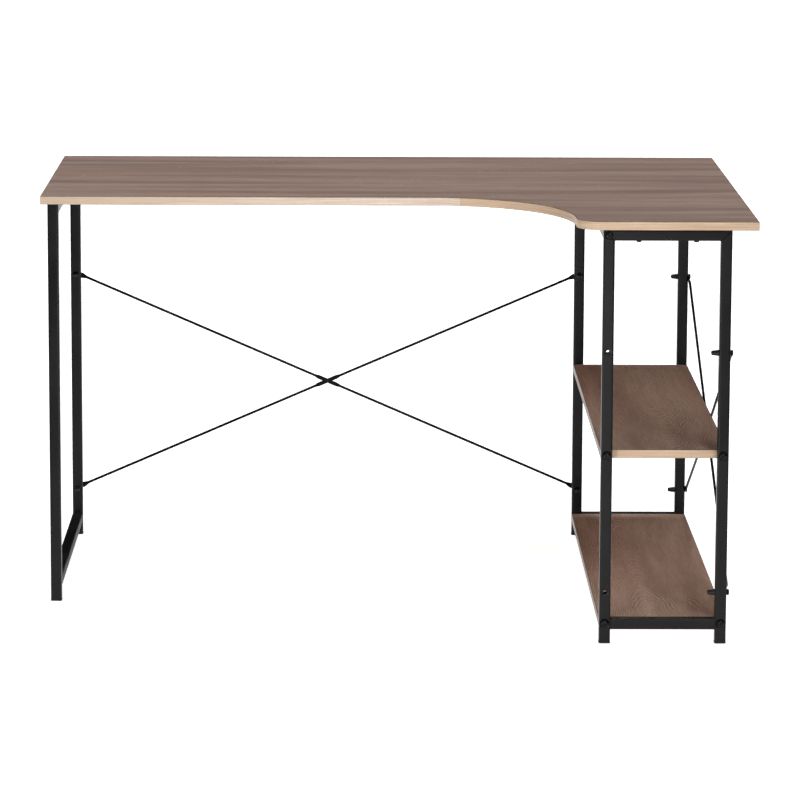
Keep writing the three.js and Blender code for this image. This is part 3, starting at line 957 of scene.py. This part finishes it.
def add_cap_nut(node, axis):
    """A bullet-shaped plastic cap nut, its round tip along the axis."""
    outer, _ = reach_of(node, axis)
    centre = middle(node)
    mouth = centre + axis * (outer - NUT["length"] - centre.dot(axis))
    radius, length = NUT["radius"], NUT["length"]
    profile = [
        (0.5 * NUT["bore"], NUT["bore_depth"]),
        (NUT["bore"], NUT["bore_depth"] - 0.002),
        (NUT["bore"], 0.0004),
        (NUT["bore"] + 0.0003, 0),
        (radius - 0.0003, 0),
        (radius, 0.0003),
        (radius, 0.1 * length),
        (radius - 0.0002, 0.13 * length),
    ]
    tip = 0.76 * radius
    profile += arc((0, 0.80 * length), (tip, 0.2 * length), 0, 88, 12)
    add_turned(f"{node}.look", mouth, axis, profile, nut_plastic, [node])


def add_rivet(node, axis):
    low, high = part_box(node)
    centre = middle(node)
    half = (high - low).dot(axis) / 2
    radius, height = RIVET["radius"], RIVET["height"]
    dome = arc((0, 0), (radius, height), 0, 86, 10)
    grip = half - height
    below = [(x, -grip - y) for x, y in reversed(dome)]
    above = [(x, grip + y) for x, y in dome]
    stem = 0.5 * radius
    profile = below + [(stem, -grip), (stem, grip)] + above
    add_turned(f"{node}.look", centre, axis, profile, steel, [node])


def add_desktop_screw(name, x, y, nodes=()):
    """A pan-head screw up through a top rail into the board, as high as the CAD's two."""
    low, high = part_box("desktop_screw_left")
    seat = Vector((x, y, low.z + PAN_HEAD["height"]))
    profile = pan_head(high.z - seat.z)
    add_turned(name, seat, -Z, profile, steel, nodes)


def add_fasteners():
    for end, out in (("front", -Y), ("rear", Y)):
        for level in ("middle", "bottom"):
            for side in ("left", "right"):
                add_bolt(f"{level}_shelf_screw_{end}_{side}", out, SCREW_HEAD)
        add_bolt(f"corner_bolt_{end}", out, SCREW_HEAD)
    for side in ("left", "right"):
        node = f"desktop_screw_{side}"
        add_desktop_screw(f"{node}.look", middle(node).x, middle(node).y, [node])
        rear_y = middle("shelf_rear_top_rail").y
        add_desktop_screw(f"desktop_screw_rear_{side}.look", middle(node).x, rear_y)
    for rail, spots in (("left_top_rail", 3), ("shelf_left_top_rail", 2)):
        low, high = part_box(rail)
        for i in range(spots):
            y = low.y + (high.y - low.y) * (i + 0.5) / spots
            add_desktop_screw(f"{rail}_screw_{i + 1}.look", middle(rail).x, y)


# ---- Cross braces ----


def smooth_step(value, low, high):
    t = min(1.0, max(0.0, (value - low) / (high - low)))
    return t * t * (3 - 2 * t)


def rod_section(along, half_span):
    """Half width, half thickness and squareness of a rod at a place from its middle."""
    radius, flat = ROD["radius"], ROD["thick"]
    from_tip = half_span + ROD["tab"] - abs(along)
    tab = 1 - smooth_step(from_tip, *TAB_TAPER)
    centre = 1 - smooth_step(abs(along), *MIDDLE_TAPER)
    width = radius + (ROD["tab"] - radius) * tab + (ROD["middle"] - radius) * centre
    if from_tip < ROD["tab"]:
        width = math.sqrt(max(1e-8, ROD["tab"] ** 2 - (ROD["tab"] - from_tip) ** 2))
    pressed = max(tab, centre)
    thick = radius + (flat - radius) * smooth_step(pressed, 0.15, 0.85)
    return width, thick, 2 + 4 * pressed


def rod_stations(half_span):
    """Places along a rod: close together at its tips and where its section changes."""
    tip = half_span + ROD["tab"]
    near_tip = [tip - ROD["tab"] * (1 - math.cos(math.pi / 2 * i / 10)) for i in range(11)]
    near_tip[0] = tip - 0.00002
    taper = [tip - 0.013 - 0.0011 * i for i in range(17)]
    straight = [tip - 0.03 - (tip - 0.06) * i / 12 for i in range(13)]
    centre = [0.029 - 0.0011 * i for i in range(12)] + [0.012, 0.006]
    half = sorted(set(near_tip + taper + straight + centre))
    return [-s for s in reversed(half)] + [0.0] + half


def add_rod(node, start, end, out, rise):
    """A round rod between two bolt axes, pressed flat and wide at its ends and its middle.

    start and end are on the legs' outer face, out points away from the frame, and rise is
    how much further out the rod's middle stands.
    """
    centre = (start + end) / 2
    axis = (end - start).normalized()
    wide = out.cross(axis)
    half_span = (end - start).length / 2
    bm = bmesh.new()
    rings = []
    for along in rod_stations(half_span):
        width, thick, power = rod_section(along, half_span)
        tab = 1 - smooth_step(half_span + ROD["tab"] - abs(along), *TAB_TAPER)
        depth = ROD["radius"] + (ROD["thick"] - ROD["radius"]) * tab
        depth += rise * (1 - min(1.0, abs(along) / (half_span - 0.02)))
        ring = []
        for k in range(ROD_SIDES):
            angle = 2 * math.pi * k / ROD_SIDES
            c, s = math.cos(angle), math.sin(angle)
            a = width * math.copysign(abs(c) ** (2 / power), c)
            b = thick * math.copysign(abs(s) ** (2 / power), s)
            ring.append(centre + axis * along + wide * a + out * (depth + b))
        rings.append(ring)
    loft(bm, rings)
    mesh = to_mesh(bm, node)
    bores = []
    for point in (start, end):
        bores.append(hole_cutter(point + out * ROD["radius"], out, BOLT_HOLE, 0))
    mesh = drilled(mesh, bores)
    add_piece(f"{node}.look", mesh, [rod_paint], [node], sharp=40)


def add_brace(name, ends, out, face):
    """Two crossed rods, their bolts and cap nuts, and the rivet that joins them."""

    def bolt_at(end, level):
        point = middle(f"{name}_bolt_{end}_{level}")
        return point + out * (face - point.dot(out))

    first, last = ends
    add_rod(f"{name}_rod_a", bolt_at(first, "top"), bolt_at(last, "bottom"), out, 0)
    add_rod(f"{name}_rod_b", bolt_at(first, "bottom"), bolt_at(last, "top"), out, ROD_RISE)
    add_rivet(f"{name}_rivet", out)
    for end in ends:
        for level in ("top", "bottom"):
            add_bolt(f"{name}_bolt_{end}_{level}", out, BRACE_HEAD)
            add_cap_nut(f"{name}_cap_nut_{end}_{level}", -out)


def add_braces():
    add_brace("rear_brace", ("left", "right"), Y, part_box("left_rear_leg")[1].y)
    add_brace("side_brace", ("rear", "front"), X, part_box("shelf_rear_right_leg")[1].x)


# ---- Studio ----


def add_floor():
    """A plain pale floor that glows towards white below and behind the desk."""
    bm = bmesh.new()
    bmesh.ops.create_grid(bm, x_segments=8, y_segments=8, size=60)
    floor = bpy.data.objects.new("floor", to_mesh(bm, "floor"))
    bpy.context.scene.collection.objects.link(floor)
    s = Shader("pale floor", Roughness=0.9, Specular_IOR_Level=0.1)
    cloud = s.noise(s.coordinates((1, 1, 1)), scale=0.7, detail=2)
    colour = s.mix(s.span(cloud, 0.3, 0.7), rgb(0.70, 0.70, 0.70), rgb(0.72, 0.72, 0.72))
    apart = s.node("ShaderNodeSeparateXYZ", {0: s.coordinates((1, 1, 1))}).outputs
    reach = s.math("SUBTRACT", s.math("ABSOLUTE", apart["X"]), s.math("MULTIPLY", apart["Y"], 0.1))
    s.surface.inputs["Emission Color"].default_value = rgb(1.0, 1.0, 1.0)
    glow = s.math("MULTIPLY", s.span(reach, 2.3, 0.85, 0.0, 0.85), s.span(apart["Y"], -3.1, -2.1))
    floor.data.materials.append(s.finish(Base_Color=colour, Emission_Strength=glow))


def add_sun(name, azimuth, elevation, strength, spread):
    """A distant light, spread degrees across. Azimuth 0 is in front and 90 is on the right."""
    data = bpy.data.lights.new(name, "SUN")
    data.energy = strength
    data.angle = math.radians(spread)
    light = bpy.data.objects.new(name, data)
    a, e = math.radians(azimuth), math.radians(elevation)
    towards = Vector((math.sin(a) * math.cos(e), -math.cos(a) * math.cos(e), math.sin(e)))
    light.rotation_mode = "QUATERNION"
    light.rotation_quaternion = towards.to_track_quat("Z", "Y")
    bpy.context.scene.collection.objects.link(light)


def add_softbox(name, place, target, size, power):
    """A rectangular light at a place, turned towards a target."""
    data = bpy.data.lights.new(name, "AREA")
    data.shape = "RECTANGLE"
    data.size, data.size_y = size
    data.energy = power
    light = bpy.data.objects.new(name, data)
    light.location = place
    light.rotation_mode = "QUATERNION"
    light.rotation_quaternion = (Vector(place) - Vector(target)).to_track_quat("Z", "Y")
    light.visible_camera = False
    bpy.context.scene.collection.objects.link(light)


def add_lights():
    world = bpy.data.worlds.new("studio")
    world.use_nodes = True
    nodes, links = world.node_tree.nodes, world.node_tree.links
    direction = nodes.new("ShaderNodeSeparateXYZ")
    links.new(nodes.new("ShaderNodeTexCoord").outputs["Generated"], direction.inputs[0])
    height = nodes.new("ShaderNodeMapRange")
    links.new(direction.outputs["Z"], height.inputs["Value"])
    for socket, value in {"From Min": 0.0, "From Max": 0.9, "To Min": 0.10, "To Max": 0.5}.items():
        height.inputs[socket].default_value = value
    links.new(height.outputs["Result"], nodes["Background"].inputs["Strength"])
    bpy.context.scene.world = world
    add_sun("overhead", azimuth=180, elevation=87.5, strength=2.15, spread=14)
    add_sun("front key", azimuth=12, elevation=29, strength=0.93, spread=20)
    add_sun("front left", azimuth=-50, elevation=26, strength=0.12, spread=40)
    add_sun("glint", azimuth=24, elevation=34, strength=0.30, spread=5)
    add_softbox("centre strip", (-0.1, -1.35, 0.30), (-0.1, 0, 0.30), size=(0.16, 0.54), power=4.5)
    add_softbox("wing strip", (0.36, -2.6, 0.36), (0.36, 0, 0.36), size=(0.30, 0.5), power=3.4)


CAMERA_PLACE = (-0.0671, -7.7632, 1.6748)
CAMERA_LENS = 190.45  # mm, on a sensor 36 mm wide
CAMERA_DOWN, CAMERA_RIGHT, CAMERA_ROLL = 9.675, 0.635, -0.245  # degrees


def add_camera():
    """The camera stands well back with a long lens, looking down a little from above the top."""
    data = bpy.data.cameras.new("camera")
    data.sensor_width = 36
    data.lens = CAMERA_LENS
    data.clip_start, data.clip_end = 0.1, 200
    camera = bpy.data.objects.new("camera", data)
    down, right, roll = map(math.radians, (CAMERA_DOWN, CAMERA_RIGHT, CAMERA_ROLL))
    turn = Matrix.Rotation(-right, 4, "Z") @ Matrix.Rotation(math.pi / 2 - down, 4, "X")
    turn = turn @ Matrix.Rotation(-roll, 4, "Z")
    camera.matrix_world = Matrix.Translation(CAMERA_PLACE) @ turn
    bpy.context.scene.collection.objects.link(camera)
    bpy.context.scene.camera = camera
    bpy.context.scene.view_settings.view_transform = "Standard"


add_boards()
add_frame()
add_fasteners()
add_braces()
add_floor()
add_lights()
add_camera()
